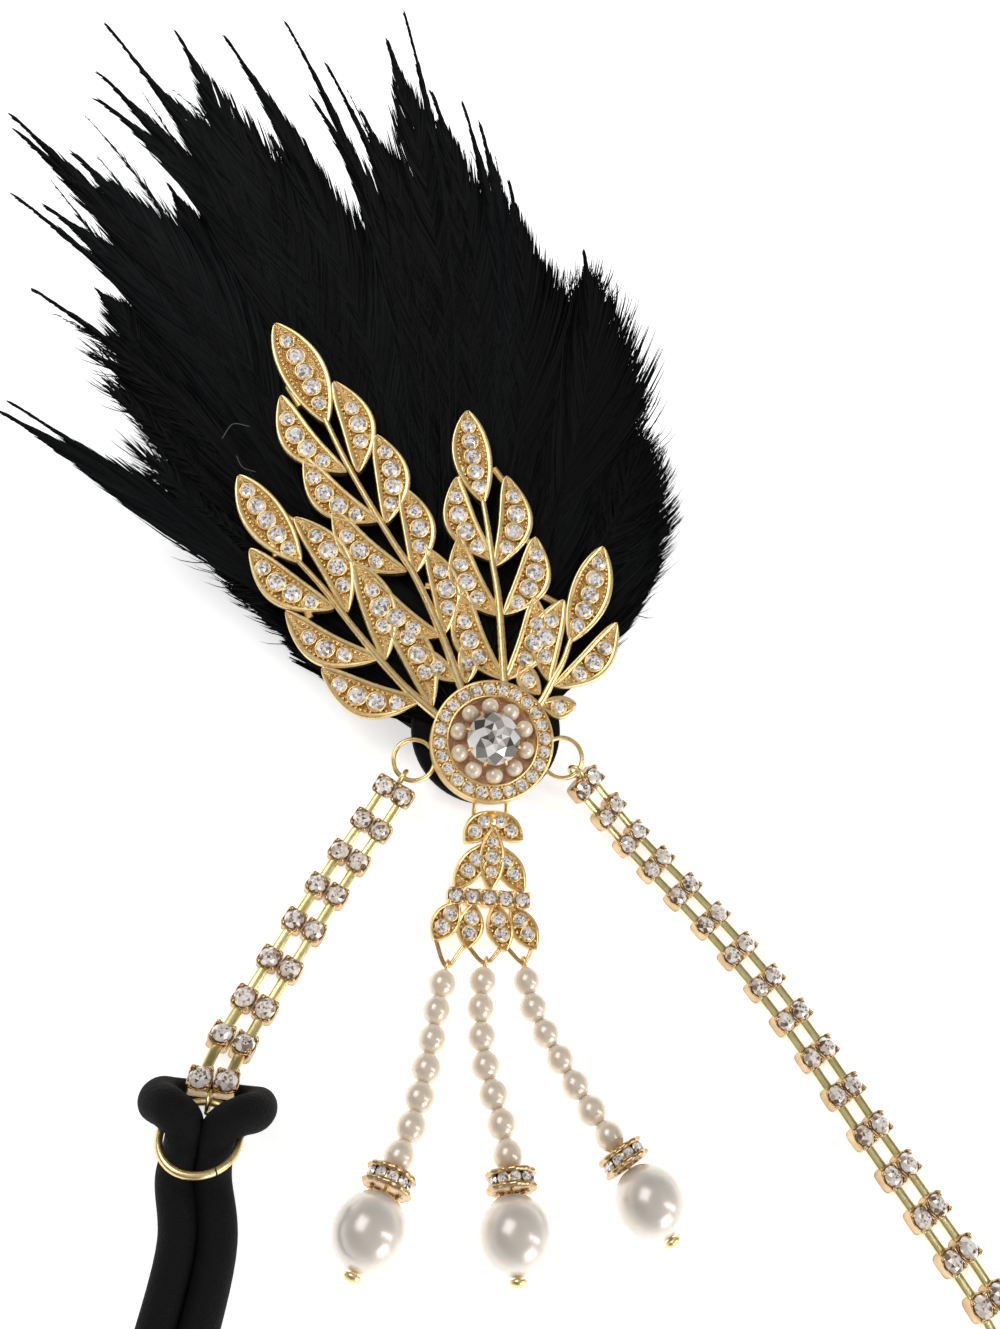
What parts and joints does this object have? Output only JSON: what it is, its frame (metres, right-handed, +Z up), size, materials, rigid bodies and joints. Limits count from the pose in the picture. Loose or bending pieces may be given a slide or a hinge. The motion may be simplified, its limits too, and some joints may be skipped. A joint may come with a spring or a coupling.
{
  "type": "feather headband",
  "caption": "Flapper headband: a jewelled leaf brooch on a black plume, a drop with pearl strings, stone chains at both sides and a black elastic loop that goes round the head.",
  "frame": {"origin": "middle of the footprint, on the surface that the headband lies on", "axes": "+Y from the elastic loop towards the tips of the plume, +Z up from the surface, +X to the right seen from above with the plume away from the viewer"},
  "size_m": [0.1532, 0.3398, 0.0495],
  "materials": {
    "gold": "satin warm gold plate",
    "rose": "satin rose gold plate",
    "ring_gold": "polished gold plate",
    "stone": "faceted foil-backed glass",
    "pearl": "pearl lustre",
    "elastic": "matte black knitted tube",
    "feather": "soft black barbs with a faint sheen"
  },
  "bodies": {
    "root": {"medallion_setting": "gold", "medallion_stone": "stone", "medallion_pearl_01": "pearl", "medallion_pearl_02": "pearl", "medallion_pearl_03": "pearl", "medallion_pearl_04": "pearl", "medallion_pearl_05": "pearl", "medallion_pearl_06": "pearl", "medallion_pearl_07": "pearl", "medallion_pearl_08": "pearl", "medallion_pearl_09": "pearl", "medallion_pearl_10": "pearl", "leaf_spray": "gold", "feather_plume": "feather", "drop_ornament": "gold", "pearl_string_left": "pearl", "rondelle_left": "rose", "drop_pearl_left": "pearl", "pearl_string_middle": "pearl", "rondelle_middle": "rose", "drop_pearl_middle": "pearl", "pearl_string_right": "pearl", "rondelle_right": "rose", "drop_pearl_right": "pearl", "chain_left": "rose", "elastic_ring_left": "ring_gold", "chain_right": "rose", "elastic_ring_right": "ring_gold", "elastic_band": "elastic"}
  },
  "joints": []
}
